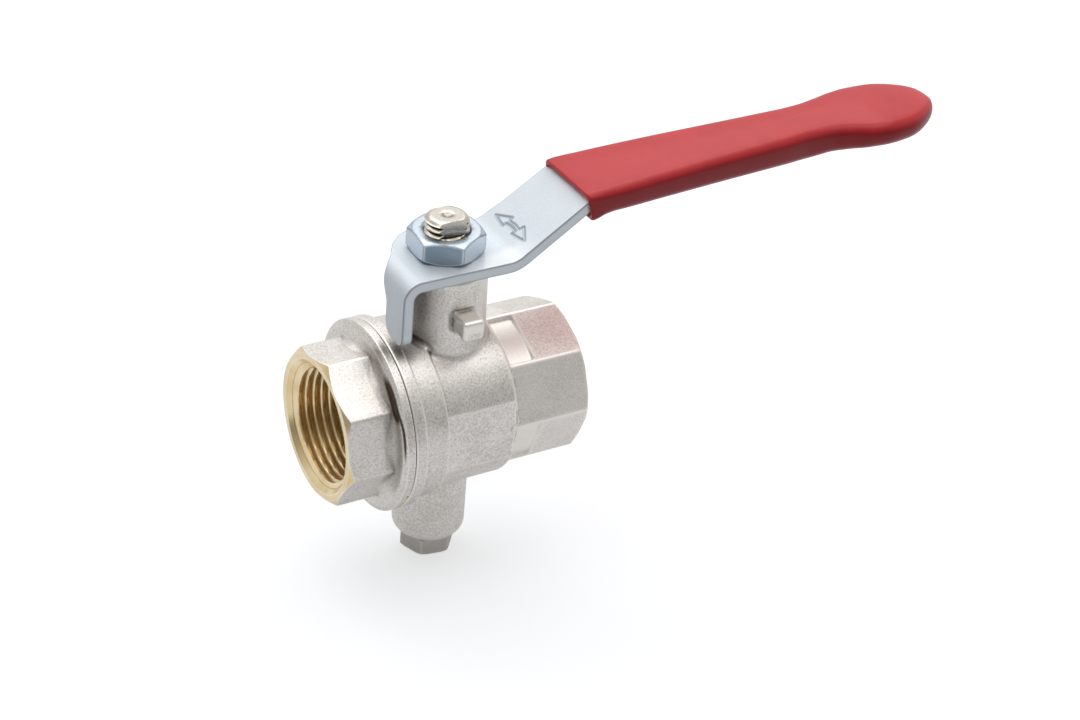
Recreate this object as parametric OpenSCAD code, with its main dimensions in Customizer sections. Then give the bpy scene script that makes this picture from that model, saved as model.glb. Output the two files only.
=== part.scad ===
// Threaded ball valve with a lever handle and a drain boss, all sizes in millimetres.
// X runs along the pipe from the start of the inlet thread, Z runs up, and the lever is drawn open.

/* [Pipe ends] */

// Radius at the root of each G 1 pipe thread
thread_r = 16.65; // [16:0.05:17]
// Length of thread in each end
thread_len = 15; // [12:0.5:15.5]
// Width across the flats of both octagons
octagon_af = 40; // [38.5:0.5:42]
// Stem to inlet face
inlet_reach = 35.6; // [35:0.1:38]
// Stem to outlet face
outlet_reach = 35.9; // [35:0.1:38]
// Radius of the water passage
passage_r = 12; // [10:0.25:12.5]

/* [Body] */

// Radius of the widest ring and of the connector flange
ring_r = 26.1; // [25.6:0.1:28]
// Step down from the widest ring to the second one
shoulder_drop = 1.45; // [1:0.05:2.4]
// Radius of the barrel
barrel_r = 23.05; // [22.5:0.05:23.6]
// Height of the neck top above the pipe axis
neck_top = 42; // [40:0.5:44]
// Reach of the two stop lugs from the stem axis
lug_reach = 17.9; // [16:0.1:18.5]
// Width of each stop lug
lug_w = 6.2; // [5:0.1:6.4]

/* [Stem and nut] */

// Radius of the stem where it runs in the neck
stem_r = 6.5; // [6.2:0.1:7]
// Radius of the M12 thread on the stem
stem_thread_r = 5.95; // [5.5:0.05:6]
// Width across the flats of the lever nut
nut_af = 18; // [17:0.5:19]
// Height of the lever nut
nut_h = 6.3; // [5:0.1:7]
// Stem above the lever nut
stem_tip = 4.1; // [3:0.1:6]

/* [Lever] */

// Thickness of the lever plate
plate_t = 3; // [2.5:0.1:3.4]
// Length of the lever from the stem axis to the tip of the grip
lever_reach = 152; // [135:1:180]
// Angle of the rising part of the lever
rise_angle = 33.6; // [28:0.2:36]
// Lowest point of the stop tab above the pipe axis
tab_bottom = 27.4; // [27:0.1:30]
// Wall of the grip sleeve
grip_wall = 1.4; // [1:0.1:2]

/* [Drain] */

// Radius of the drain boss
boss_r = 10.05; // [9.5:0.05:11]
// Bottom of the drain boss below the pipe axis
boss_drop = 42.3; // [40:0.1:45]
// Radius of the G 1/8 drain thread
drain_r = 4.85; // [4:0.05:6]
// Width across the flats of the plug head
plug_af = 13.5; // [12:0.5:15]

/* [Hidden] */

$fn = 96;

eps = 0.01;
touch_gap = 0.05;
beyond = 2 * lever_reach;
nickel = [0.74, 0.71, 0.66];
brass = [0.80, 0.62, 0.32];
zinc = [0.70, 0.75, 0.80];
ptfe = [0.93, 0.93, 0.90];
rubber = [0.08, 0.08, 0.09];

// Ball and seats
ball_r = passage_r * 1.5;
cavity_r = ball_r + 1.2;
shoulder_r = ring_r - shoulder_drop;
seat_front = ball_r * 0.56;
seat_back = ball_r * 0.89;
seat_r = min(ball_r - 0.6, 17.4);
slot_w = 6;
slot_floor = passage_r + 1.9;

// Joint between the body and the end connector
joint_x = -19.2;
ring_step_x = -15.6;
barrel_start_x = -8.5;
barrel_end_x = 12.8;
male_r = cavity_r + 2.3;
male_end_x = -seat_front + 1.1;
seal_w = 1.6;
seal_groove_r = male_r - seal_w;

// Octagons
octagon_r = octagon_af / 2 / cos(22.5);
pocket_depth = 0.9;
pocket_rim = 1;
pocket_end_x = 21;
pocket_w = octagon_af * tan(22.5) - 2 * pocket_rim;
mouth_bevel = 1.6;
corner_bevel = 1.4;
connector_turn = 10.8;

// Neck and stem
neck_base_r = 12.3;
neck_top_r = neck_base_r - 0.7;
neck_flare = 1.2;
pad_y = 21.4;
lug_top = 33.9;
lug_h = 5.1;
flange_top = ball_r + 2.9;
flange_bottom = ball_r + 0.7;
stem_flange_r = 8;
washer_h = 1.1;
shoulder_z = flange_top + washer_h + touch_gap;
packing_bottom = shoulder_z + 8.1;
packing_h = 3.6;
gland_r = stem_r + 3;
gland_slot_w = 2.5;
gland_slot_depth = 1.8;
stem_bore_r = stem_r + touch_gap;
o_ring_r = 0.65;
o_ring_groove_r = stem_r - 2 * o_ring_r + 0.02;
o_ring_low_z = shoulder_z + 2.4;
o_ring_pitch = 3.2;
drive_w = 5.4;
drive_len = 12;

// Lever plate, bent from one strip of sheet
plate_bottom = neck_top + 0.9;
plate_top = plate_bottom + plate_t;
nut_top = plate_top + nut_h;
stem_end = nut_top + stem_tip;
lever_flat = stem_thread_r - 1.3;
tip_flat = lever_flat - 0.6;
hole_gap = 0.1;
head_r = 13.8;
near_y = -12.8;
tab_face_x = -18.2;
tab_far_y = -lug_w / 2 - 0.1;
tab_bend = 2.2;
ear_start_x = 11.9;
ear_start_y = 7;
ear_y = -0.9;
ear_top = plate_bottom - 1.2;
ear_bottom = ear_top - 5.2;
rise_bend = 7;
rise_start_x = 12.2;
rise_len = 22;
grip_slope = 1.6;
grip_bend = 6;
bend_steps = 10;
tab_centre = [tab_face_x + plate_t + tab_bend, plate_bottom - tab_bend];
rise_centre = [rise_start_x, plate_top + rise_bend];
rise_along = [cos(rise_angle), sin(rise_angle)];
rise_up = [-sin(rise_angle), cos(rise_angle)];
grip_centre = rise_centre + rise_len * rise_along - (rise_bend + plate_t + grip_bend) * rise_up;
bar_along = [cos(grip_slope), sin(grip_slope)];
bar_up = [-sin(grip_slope), cos(grip_slope)];
bar_start = grip_centre + grip_bend * bar_up;
bar_len = lever_reach - bar_start[0];

// Grip sleeve
mouth_x = 34.6;
mouth_y = -1.9;
mouth_w = 23.2;
waist_back = 34;
waist_x = lever_reach - waist_back;
waist_y = 0.1;
waist_w = 16.4;
bulb_back = 18;
bulb_x = lever_reach - bulb_back;
bulb_y = -1.35;
bulb_r = 12.15;
grip_round = 2.2;

// Flat bar inside the grip
bar_far_y = 7;
bar_half = waist_w / 2 - grip_wall - 0.6;
bar_end_x = lever_reach - grip_wall - bar_half - 3.5;

// Drain
plug_head_h = 5.3;
seal_h = 1;
seal_w_out = 1.5;
drain_engaged = 9;
drain_thread_len = 11.5;
plug_seat_z = -boss_drop - 0.3;

// Every piece is drawn about the stem axis and moved so that the inlet thread starts at X = 0
module placed() {
    translate([inlet_reach - mouth_bevel, 0, 0]) children();
}

// Turns a profile of [radius, x] points about the pipe axis
module turned() {
    rotate([90, 0, 90]) rotate_extrude() children();
}

// Extrudes a Y-Z outline along the pipe axis
module along_pipe(x0, x1) {
    translate([x0, 0, 0]) rotate([90, 0, 90]) linear_extrude(x1 - x0) children();
}

module pipe_cylinder(x0, x1, r) {
    translate([x0, 0, 0]) rotate([0, 90, 0]) cylinder(h = x1 - x0, r = r);
}

module octagon(af) {
    circle(r = af / 2 / cos(22.5), $fn = 8);
}

// Octagon end whose corners are turned off at the face, as on the real valve
module bevelled_octagon(x0, face_x, turn) {
    side = sign(face_x);
    low = min(x0, face_x);
    high = max(x0, face_x);
    rim = octagon_af / 2;
    intersection() {
        along_pipe(low, high) rotate(turn) octagon(octagon_af);
        turned() polygon([[0, x0], [octagon_r + 1, x0],
                          [octagon_r + 1, face_x - side * corner_bevel * (octagon_r + 1 - rim) / (octagon_r - rim)],
                          [rim, face_x], [0, face_x]]);
    }
}

// Threaded port with its lead-in bevel; face_x is the port face
module port(face_x) {
    side = sign(face_x);
    turned() polygon([[0, face_x + side], [thread_r + mouth_bevel + 1, face_x + side],
                      [thread_r, face_x - side * mouth_bevel],
                      [thread_r, face_x - side * (mouth_bevel + thread_len)],
                      [0, face_x - side * (mouth_bevel + thread_len)]]);
}

// Shallow pocket beside the barrel on the flat that faces the given angle, from +Y towards +Z
module flat_pocket(angle) {
    rotate([angle - 90, 0, 0]) translate([barrel_end_x, -pocket_w / 2, octagon_af / 2 - pocket_depth])
        cube([pocket_end_x - barrel_end_x, pocket_w, octagon_af]);
}

module stop_lug() {
    top_w = lug_w - 0.4;
    root_y = neck_top_r - 2;
    difference() {
        translate([-lug_w / 2, -lug_reach, lug_top - lug_h]) cube([lug_w, lug_reach - root_y, lug_h]);
        translate([lug_w / 2 - 1.2, -lug_reach - eps, lug_top - lug_h - eps]) difference() {
            cube([1.2 + eps, lug_reach, 1.2]);
            translate([0, -1, 1.2]) rotate([-90, 0, 0]) cylinder(h = lug_reach + 2, r = 1.2);
        }
    }
}

module body_shell() {
    edge = 0.5;
    turned() polygon([[0, joint_x], [ring_r - 0.3, joint_x], [ring_r, joint_x + 0.3],
                      [ring_r, ring_step_x - edge], [ring_r - edge, ring_step_x],
                      [shoulder_r, ring_step_x + 0.2],
                      [shoulder_r, barrel_start_x - edge], [shoulder_r - edge, barrel_start_x],
                      [barrel_r, barrel_start_x + 0.2],
                      [barrel_r, barrel_end_x - 1.3], [barrel_r - 0.6, barrel_end_x - 0.5],
                      [barrel_r - 1.5, barrel_end_x], [0, barrel_end_x]]);
    difference() {
        bevelled_octagon(barrel_end_x - 1, outlet_reach, 0);
        for (angle = [67.5, 112.5, 202.5, 247.5, 292.5, 337.5]) flat_pocket(angle);
    }
    cylinder(h = neck_top, r1 = neck_base_r + 0.4, r2 = neck_top_r);
    translate([0, 0, barrel_r - 5]) cylinder(h = 6, r1 = neck_base_r + neck_flare, r2 = neck_base_r - 0.1);
    translate([0, 0, -boss_drop + 3.8]) cylinder(h = boss_drop - 3.8, r = boss_r);
    translate([0, 0, -boss_drop]) cylinder(h = 3.8, r1 = boss_r - 1.7, r2 = boss_r);
    stop_lug();
    rotate(180) stop_lug();
}

module valve_body() {
    color(nickel) placed() difference() {
        body_shell();
        // Flat pad on each side of the barrel
        for (side = [-1, 1]) {
            translate([barrel_start_x + 0.3, side > 0 ? pad_y : -pad_y - ring_r, -ring_r / 2])
                cube([barrel_end_x - barrel_start_x + 0.4, ring_r, ring_r]);
        }
        // Thread for the connector, ball cavity, seat pocket, passage and outlet port
        pipe_cylinder(joint_x - 1, male_end_x + 0.2, male_r);
        pipe_cylinder(male_end_x, seat_front - 1, cavity_r);
        pipe_cylinder(0, seat_back, seat_r);
        pipe_cylinder(0, outlet_reach, passage_r);
        port(outlet_reach);
        // Stem bore, washer recess and packing chamber
        cylinder(h = shoulder_z, r = stem_flange_r + 0.3);
        cylinder(h = neck_top, r = stem_bore_r);
        translate([0, 0, packing_bottom]) cylinder(h = neck_top, r = gland_r);
        translate([0, 0, neck_top - 0.6]) cylinder(h = 0.7, r1 = gland_r, r2 = gland_r + 0.7);
        // Drain hole and its thread
        translate([0, 0, -boss_drop - 1]) cylinder(h = boss_drop, r = drain_r * 0.6);
        translate([0, 0, -boss_drop - 1]) cylinder(h = 1 + drain_thread_len, r = drain_r);
        translate([0, 0, -boss_drop - 1]) cylinder(h = 1 + seal_h, r = drain_r + seal_w_out);
    }
}

module end_connector() {
    neck_fillet = 3;
    flange_face = joint_x - 3.2;
    color(nickel) placed() difference() {
        union() {
            bevelled_octagon(flange_face + eps, -inlet_reach, connector_turn);
            turned() difference() {
                polygon([[0, flange_face - neck_fillet], [octagon_af / 2 + neck_fillet, flange_face - neck_fillet],
                         [octagon_af / 2 + neck_fillet, flange_face], [ring_r - 1.4, flange_face],
                         [ring_r, flange_face + 1], [ring_r, joint_x - 0.3], [ring_r - 0.3, joint_x],
                         [0, joint_x]]);
                translate([octagon_af / 2 + neck_fillet, flange_face - neck_fillet]) circle(r = neck_fillet);
            }
            turned() polygon([[0, joint_x - 1], [seal_groove_r, joint_x - 1], [seal_groove_r, joint_x + 2],
                              [male_r, joint_x + 2], [male_r, male_end_x - 0.6],
                              [male_r - 0.6, male_end_x], [0, male_end_x]]);
        }
        pipe_cylinder(-inlet_reach, 0, passage_r);
        pipe_cylinder(-seat_back, 0, seat_r);
        port(-inlet_reach);
    }
}

module connector_seal() {
    r = seal_w / 2;
    color(rubber) placed() turned() translate([seal_groove_r + r, joint_x + 1]) circle(r = r);
}

module ball() {
    color([0.85, 0.85, 0.86]) placed() difference() {
        sphere(r = ball_r);
        pipe_cylinder(-ball_r, ball_r, passage_r);
        translate([-slot_w / 2, -ball_r, slot_floor]) cube([slot_w, 2 * ball_r, ball_r]);
    }
}

module seat() {
    difference() {
        pipe_cylinder(seat_front, seat_back, seat_r);
        pipe_cylinder(0, ball_r, passage_r + 0.2);
        sphere(r = ball_r + touch_gap);
    }
}

module seat_inlet() {
    color(ptfe) placed() mirror([1, 0, 0]) seat();
}

module seat_outlet() {
    color(ptfe) placed() seat();
}

// Round bar with a flat on the two sides that face Y
module double_flat(z0, z1, r, flat) {
    translate([0, 0, z0]) intersection() {
        cylinder(h = z1 - z0, r = r);
        translate([-r, -flat, 0]) cube([2 * r, 2 * flat, z1 - z0]);
    }
}

module stem() {
    tip_bevel = 1.3;
    color(nickel) placed() difference() {
        union() {
            translate([-drive_w / 2, -drive_len / 2, slot_floor + 0.3])
                cube([drive_w, drive_len, flange_bottom - slot_floor]);
            translate([0, 0, flange_bottom]) cylinder(h = flange_top - flange_bottom, r = stem_flange_r);
            translate([0, 0, flange_top - eps]) cylinder(h = plate_bottom - flange_top + eps, r = stem_r);
            double_flat(plate_bottom - eps, nut_top + 0.6, stem_thread_r, lever_flat);
            intersection() {
                double_flat(nut_top + 0.5, stem_end, stem_thread_r, tip_flat);
                cylinder(h = stem_end, r1 = stem_thread_r + stem_end - tip_bevel, r2 = stem_thread_r - tip_bevel);
            }
        }
        for (i = [0, 1]) {
            translate([0, 0, o_ring_low_z + i * o_ring_pitch - 1]) difference() {
                cylinder(h = 2, r = stem_r + 1);
                cylinder(h = 2, r = o_ring_groove_r);
            }
        }
        translate([0, 0, stem_end - 1]) cylinder(h = 1.01, r1 = 0.4, r2 = 1.7);
    }
}

module stem_o_rings() {
    color(rubber) placed() for (i = [0, 1]) {
        translate([0, 0, o_ring_low_z + i * o_ring_pitch])
            rotate_extrude() translate([o_ring_groove_r + o_ring_r, 0]) circle(r = o_ring_r);
    }
}

module ring(z0, h, r_in, r_out) {
    translate([0, 0, z0]) difference() {
        cylinder(h = h, r = r_out);
        translate([0, 0, -1]) cylinder(h = h + 2, r = r_in);
    }
}

module thrust_washer() {
    color(ptfe) placed() ring(shoulder_z - washer_h, washer_h, stem_bore_r, stem_flange_r + 0.3);
}

module packing_ring() {
    color(ptfe) placed() ring(packing_bottom, packing_h, stem_bore_r, gland_r);
}

module gland_nut() {
    gland_bottom = packing_bottom + packing_h;
    color(brass) placed() difference() {
        ring(gland_bottom, neck_top - 0.5 - gland_bottom, stem_r + 0.4, gland_r);
        translate([-gland_r, -gland_slot_w / 2, neck_top - 0.5 - gland_slot_depth])
            cube([2 * gland_r, gland_slot_w, neck_top]);
    }
}

// Points of a bend about a centre, from angle a0 to a1
function bend_arc(centre, r, a0, a1) =
    [for (i = [0:bend_steps]) centre + r * [cos(a0 + (a1 - a0) * i / bend_steps),
                                            sin(a0 + (a1 - a0) * i / bend_steps)]];

// Side view of the strip: down the tab, along the flat, up the rise and along the bar
module strip_profile() {
    top = concat([[tab_face_x, tab_bottom - 1]],
                 bend_arc(tab_centre, tab_bend + plate_t, 180, 90),
                 bend_arc(rise_centre, rise_bend, -90, -90 + rise_angle),
                 bend_arc(grip_centre, grip_bend + plate_t, 90 + rise_angle, 90 + grip_slope),
                 [bar_start + bar_len * bar_along + plate_t * bar_up]);
    under = concat([bar_start + bar_len * bar_along],
                   bend_arc(grip_centre, grip_bend, 90 + grip_slope, 90 + rise_angle),
                   bend_arc(rise_centre, rise_bend + plate_t, -90 + rise_angle, -90),
                   bend_arc(tab_centre, tab_bend, 90, 180),
                   [[tab_face_x + plate_t, tab_bottom - 1]]);
    polygon(concat(top, under));
}

// The whole strip before it is trimmed to its outline
module bent_strip() {
    width = 3 * ring_r;
    translate([0, width / 2, 0]) rotate([90, 0, 0]) linear_extrude(width) strip_profile();
}

// Outline of the plate seen from above: round head, straight near edge, arm and narrower bar
module plate_outline() {
    arm_far = 9.2;
    bar_x = mouth_x + 10;
    circle(r = head_r);
    polygon([[tab_face_x - 1, near_y], [mouth_x + 2, near_y], [bar_x, near_y + 2], [waist_x, waist_y - bar_half],
             [lever_reach, waist_y - bar_half], [lever_reach, waist_y + bar_half], [waist_x, waist_y + bar_half],
             [bar_x, bar_far_y], [mouth_x + 2, arm_far], [0, head_r],
             [-ear_start_x, ear_start_y], [-ear_start_x - 2.4, ear_start_y - 3.9],
             [tab_face_x + 0.5, ear_y + 0.5], [tab_face_x, ear_y], [tab_face_x - 1, ear_y]]);
}

// Outline of the stop tab seen from its face, in Y and Z, with rounded lower corners
module tab_outline() {
    far_round = 3.8;
    near_round = 2.4;
    translate([-beyond, ear_top]) square(2 * beyond);
    polygon([[near_y, tab_bottom + far_round], [tab_far_y, tab_bottom + far_round], [tab_far_y, ear_bottom],
             [ear_y, ear_top], [ear_y, ear_top + 1], [near_y, ear_top + 1]]);
    translate([near_y + near_round, tab_bottom])
        square([tab_far_y - near_y - near_round - far_round, plate_bottom - tab_bottom]);
    translate([tab_far_y - far_round, tab_bottom + far_round]) circle(r = far_round);
    translate([near_y + near_round, tab_bottom + near_round]) circle(r = near_round);
}

// Plate and bar cut to their outline, with the bar's end rounded inside the grip
module cut_strip() {
    intersection() {
        bent_strip();
        linear_extrude(beyond) intersection() {
            plate_outline();
            union() {
                translate([bar_end_x - beyond, -beyond]) square([beyond, 2 * beyond]);
                translate([bar_end_x, waist_y]) circle(r = bar_half);
            }
        }
    }
}

module lever() {
    color(zinc) placed() difference() {
        intersection() {
            cut_strip();
            along_pipe(tab_face_x - 1, lever_reach + 1) tab_outline();
        }
        double_flat(plate_bottom - 1, plate_top + 1, stem_thread_r + hole_gap, lever_flat + hole_gap);
    }
}

// One cross-section of the grip as a thin slab, with rounded edges
module grip_slab(x, y, w, z0, z1) {
    r = min(grip_round, (z1 - z0) / 2 - 0.1);
    for (side = [-w / 2 + r, w / 2 - r], z = [z0 + r, z1 - r]) {
        translate([x, y + side, z]) rotate([0, 90, 0]) cylinder(h = 0.2, r = r, $fn = 24);
    }
}

// Straight taper of the sleeve, the flare past the waist, then the wide rounded end
module grip_shape(bar_z) {
    under = 2.6;
    bar_top = bar_z + plate_t;
    waist_top = bar_top + grip_wall + tan(grip_slope) * (waist_x - mouth_x);
    bulb_z = bar_z + tan(grip_slope) * (bulb_x - mouth_x) + plate_t / 2 - 0.4;
    hull() {
        grip_slab(mouth_x, mouth_y, mouth_w, bar_z - under - 0.8, bar_top + 0.6);
        grip_slab(mouth_x + 4, mouth_y, mouth_w, bar_z - under, bar_top + grip_wall);
        grip_slab(waist_x, waist_y, waist_w, bar_z - under, waist_top);
    }
    hull() {
        grip_slab(waist_x - 0.1, waist_y, waist_w, bar_z - under, waist_top);
        translate([bulb_x, bulb_y, bulb_z]) grip_disc();
    }
    hull() {
        translate([bulb_x, bulb_y, bulb_z]) grip_disc();
        translate([lever_reach - bulb_r, bulb_y, bulb_z]) grip_disc();
    }
}

// Rounded disc that forms the end of the grip
module grip_disc() {
    h = plate_t + 2 * grip_wall + 1.6;
    r = h / 2;
    rotate_extrude($fn = 48) {
        translate([0, -r]) square([bulb_r - r, h]);
        intersection() {
            translate([bulb_r - r, 0]) circle(r = r, $fn = 24);
            translate([0, -h]) square([bulb_r + r, 2 * h]);
        }
    }
}

module grip() {
    bar_z = bar_start[1];
    color([0.78, 0.16, 0.18]) placed() difference() {
        grip_shape(bar_z);
        cut_strip();
        // Open mouth round the rising plate
        translate([mouth_x - 1, mouth_y - mouth_w / 2 + 1.2, bar_z - 2.2])
            cube([3.4, mouth_w - 2.4, plate_t + 1.6]);
    }
}

module lever_nut() {
    corner_r = nut_af / 2 / cos(30);
    face_r = nut_af / 2 - 0.6;
    reach_r = corner_r + 1;
    drop = (reach_r - face_r) * tan(33);
    color(zinc) placed() translate([0, 0, plate_top]) difference() {
        intersection() {
            rotate(148 - 60) cylinder(h = nut_h, r = corner_r, $fn = 6);
            rotate_extrude() polygon([[0, 0], [face_r, 0], [reach_r, drop], [reach_r, nut_h - drop],
                                      [face_r, nut_h], [0, nut_h]]);
        }
        translate([0, 0, -1]) cylinder(h = nut_h + 2, r = stem_thread_r + touch_gap);
        translate([0, 0, nut_h - 0.5]) cylinder(h = 0.51, r1 = stem_thread_r, r2 = stem_thread_r + 0.6);
    }
}

module drain_plug() {
    corner_r = plug_af / 2 / cos(30);
    shank_top = -boss_drop + drain_engaged;
    color(nickel) placed() {
        intersection() {
            translate([0, 0, plug_seat_z - plug_head_h]) rotate(171) cylinder(h = plug_head_h, r = corner_r, $fn = 6);
            translate([0, 0, plug_seat_z - plug_head_h])
                cylinder(h = plug_head_h, r1 = corner_r - 0.5, r2 = corner_r + plug_head_h - 0.5);
        }
        translate([0, 0, plug_seat_z - eps]) cylinder(h = shank_top - plug_seat_z, r = drain_r - touch_gap);
    }
}

module drain_seal() {
    color(ptfe) placed() ring(plug_seat_z, -boss_drop + seal_h - plug_seat_z, drain_r,
                                drain_r + seal_w_out - touch_gap);
}

valve_body();
end_connector();
connector_seal();
ball();
seat_inlet();
seat_outlet();
stem();
stem_o_rings();
thrust_washer();
packing_ring();
gland_nut();
lever();
grip();
lever_nut();
drain_plug();
drain_seal();
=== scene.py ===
"""Dressed model of a threaded ball valve with a lever handle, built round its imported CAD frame.

Lengths in the functions are millimetres about the stem axis; to_frame moves them into the frame.
"""

from functools import reduce
import math

import bpy
import numpy as np
from mathutils import Matrix, Vector


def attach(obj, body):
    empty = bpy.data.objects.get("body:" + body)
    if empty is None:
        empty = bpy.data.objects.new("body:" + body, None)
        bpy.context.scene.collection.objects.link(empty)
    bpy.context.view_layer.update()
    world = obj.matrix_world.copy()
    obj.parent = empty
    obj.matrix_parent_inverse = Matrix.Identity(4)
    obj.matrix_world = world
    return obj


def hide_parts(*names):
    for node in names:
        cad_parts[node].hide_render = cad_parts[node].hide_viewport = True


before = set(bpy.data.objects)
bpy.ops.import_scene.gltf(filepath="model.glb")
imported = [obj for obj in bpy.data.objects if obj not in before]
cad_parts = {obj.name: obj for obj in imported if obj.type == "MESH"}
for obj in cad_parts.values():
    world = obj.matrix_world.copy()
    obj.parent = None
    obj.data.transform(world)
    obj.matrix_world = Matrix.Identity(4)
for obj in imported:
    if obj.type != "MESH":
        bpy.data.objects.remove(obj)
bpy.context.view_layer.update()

STEM_X = 34.0

# Sizes that more than one function uses
PIPE_ROOT = 16.65  # radius of the G 1 thread's root
OCTAGON_HALF = 20.0  # from the pipe's axis to a flat, at both ends
WATERWAY = 12.0  # radii of the bores along the pipe
SEAT_POCKET = 17.4
JOINT = 21.5
RISE = math.radians(33.6)  # slope of the lever's rise


# Mesh helpers

def to_frame(points):
    """Moves points from stem millimetres to the frame's metres: (x + 34, y, z) / 1000."""
    moved = np.asarray(points, dtype=np.float64).reshape(-1, 3) + np.array([STEM_X, 0.0, 0.0])
    return moved * 0.001


def signed_volume(verts, faces):
    """Volume by the divergence theorem, with each quad split into two triangles."""
    a, b, c, d = (verts[faces[:, k]] for k in range(4))
    first = np.einsum("ij,ij->i", a, np.cross(b, c)).sum()
    second = np.einsum("ij,ij->i", a, np.cross(c, d)).sum()
    return (first + second) / 6.0


def build_object(name, verts, quads, body, node=None, slot=None, tris=()):
    """Makes a mesh object from arrays of points and faces, turned so that its faces point outwards."""
    quads = np.asarray(quads, dtype=np.int64).reshape(-1, 4)
    tris = np.asarray(tris, dtype=np.int64).reshape(-1, 3)
    if signed_volume(verts, np.vstack([quads, np.column_stack([tris, tris[:, 2]])])) < 0:
        quads, tris = quads[:, ::-1], tris[:, ::-1]
    mesh = bpy.data.meshes.new(name)
    mesh.vertices.add(len(verts))
    mesh.vertices.foreach_set("co", to_frame(verts).ravel())
    loops = np.concatenate([quads.ravel(), tris.ravel()])
    mesh.loops.add(len(loops))
    mesh.loops.foreach_set("vertex_index", loops.astype(np.int32))
    count = len(quads) + len(tris)
    mesh.polygons.add(count)
    starts = np.concatenate([np.arange(len(quads)) * 4, len(quads) * 4 + np.arange(len(tris)) * 3])
    mesh.polygons.foreach_set("loop_start", starts.astype(np.int32))
    mesh.polygons.foreach_set("use_smooth", np.ones(count, dtype=bool))
    mesh.update(calc_edges=True)
    mesh.validate()
    piece = bpy.data.objects.new(name, mesh)
    bpy.context.collection.objects.link(piece)
    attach(piece, body)
    if node:
        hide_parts(node)
    return piece


def grid_faces(rows, cols, wrap_rows):
    """Quads between neighbouring rows and columns of a grid whose columns run round, and whose rows
    do too where asked."""
    i = np.arange(rows if wrap_rows else rows - 1)
    i, j = (a.ravel() for a in np.meshgrid(i, np.arange(cols), indexing="ij"))
    ip, jp = (i + 1) % rows, (j + 1) % cols
    return np.column_stack([i * cols + j, ip * cols + j, ip * cols + jp, i * cols + jp])


def sheet_object(name, grid, body, wrap_rows=False, poles=(False, False), **keys):
    """Surface from a grid whose columns run round, with its first or last row closed to a point
    where poles says so."""
    rows, cols = grid.shape[:2]
    verts = grid.reshape(-1, 3)
    quads = grid_faces(rows, cols, wrap_rows)
    tris = []
    ring = np.arange(cols)
    for row, closed in zip((0, rows - 1), poles):
        if closed:
            verts = np.vstack([verts, grid[row].mean(axis=0)])
            a, b = (ring, (ring + 1) % cols) if row == 0 else ((ring + 1) % cols, ring)
            pole = np.full(cols, len(verts) - 1)
            tris.append(np.column_stack([row * cols + a, row * cols + b, pole]))
    return build_object(name, verts, quads, body, tris=np.reshape(tris, (-1, 3)), **keys)


def split_sharp(piece, degrees):
    """Shades the piece smooth, apart from edges that turn by more than the given angle."""
    bpy.context.view_layer.objects.active = piece
    for other in bpy.context.selected_objects:
        other.select_set(False)
    piece.select_set(True)
    bpy.ops.object.shade_smooth_by_angle(angle=math.radians(degrees))


def add_attribute(piece, name, values):
    """Stores one number for each vertex, for the materials to read; vertices past the last get 0."""
    layer = piece.data.attributes.new(name, "FLOAT", "POINT")
    flat = np.asarray(values, dtype=np.float32).ravel()
    full = np.zeros(len(piece.data.vertices), dtype=np.float32)
    full[:len(flat)] = flat
    layer.data.foreach_set("value", full)


def edge_attribute(piece, width, rounds=2, less=0.0):
    """Stores how sharply the surface turns at each vertex, as attribute "edge": the mean over its
    edges of (change of normal along the edge) / (length of the edge), averaged over the neighbours
    and times width. It is positive on outer edges and negative in hollows; less is taken off it.
    Width and less are one number, or one for each vertex."""
    mesh = piece.data
    count = len(mesh.vertices)
    spots, normals = np.empty(count * 3), np.empty(count * 3)
    mesh.vertices.foreach_get("co", spots)
    mesh.vertex_normals.foreach_get("vector", normals)
    ends = np.empty(len(mesh.edges) * 2, dtype=np.int32)
    mesh.edges.foreach_get("vertices", ends)
    a, b = ends.reshape(-1, 2).T
    run = (spots.reshape(-1, 3)[b] - spots.reshape(-1, 3)[a]) * 1000
    turn = normals.reshape(-1, 3)[b] - normals.reshape(-1, 3)[a]
    square = np.maximum((run ** 2).sum(axis=1), 0.0025)
    bend = (run * turn).sum(axis=1) / square
    ways = np.bincount(a, minlength=count) + np.bincount(b, minlength=count)
    value = (np.bincount(a, bend, count) + np.bincount(b, bend, count)) / np.maximum(ways, 1)
    for _ in range(rounds):
        spread = np.bincount(a, value[b], count) + np.bincount(b, value[a], count)
        value = 0.5 * value + 0.5 * spread / np.maximum(ways, 1)
    add_attribute(piece, "edge", np.clip(value * np.ravel(width) - np.ravel(less), -1, 1))


# Curves and radii

def smooth_step(t):
    """3 t^2 - 2 t^3 between 0 and 1."""
    t = np.clip(t, 0.0, 1.0)
    return t * t * (3.0 - 2.0 * t)


def smooth_curve(x, knots, values):
    """Monotone cubic through the knots, with slopes limited so that it never overshoots."""
    knots, values = np.asarray(knots, float), np.asarray(values, float)
    gap = np.diff(knots)
    rate = np.diff(values) / gap
    slope = np.zeros(len(knots))
    before, after = rate[:-1], rate[1:]
    same = before * after > 0
    slope[1:-1] = np.where(same, 2 * before * after / np.where(same, before + after, 1), 0)
    slope[0], slope[-1] = rate[0], rate[-1]
    k = np.clip(np.searchsorted(knots, x) - 1, 0, len(gap) - 1)
    t = (x - knots[k]) / gap[k]
    h00, h10 = 2 * t ** 3 - 3 * t ** 2 + 1, t ** 3 - 2 * t ** 2 + t
    h01, h11 = -2 * t ** 3 + 3 * t ** 2, t ** 3 - t ** 2
    return (h00 * values[k] + h10 * gap[k] * slope[k] + h01 * values[k + 1]
            + h11 * gap[k] * slope[k + 1])


def spot_patch(points, centre, size):
    """Round patch that fades out with the distance from its centre, as exp(-distance^2 / size)."""
    return np.exp(-((points - np.array(centre)) ** 2).sum(axis=-1) / size)


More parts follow.
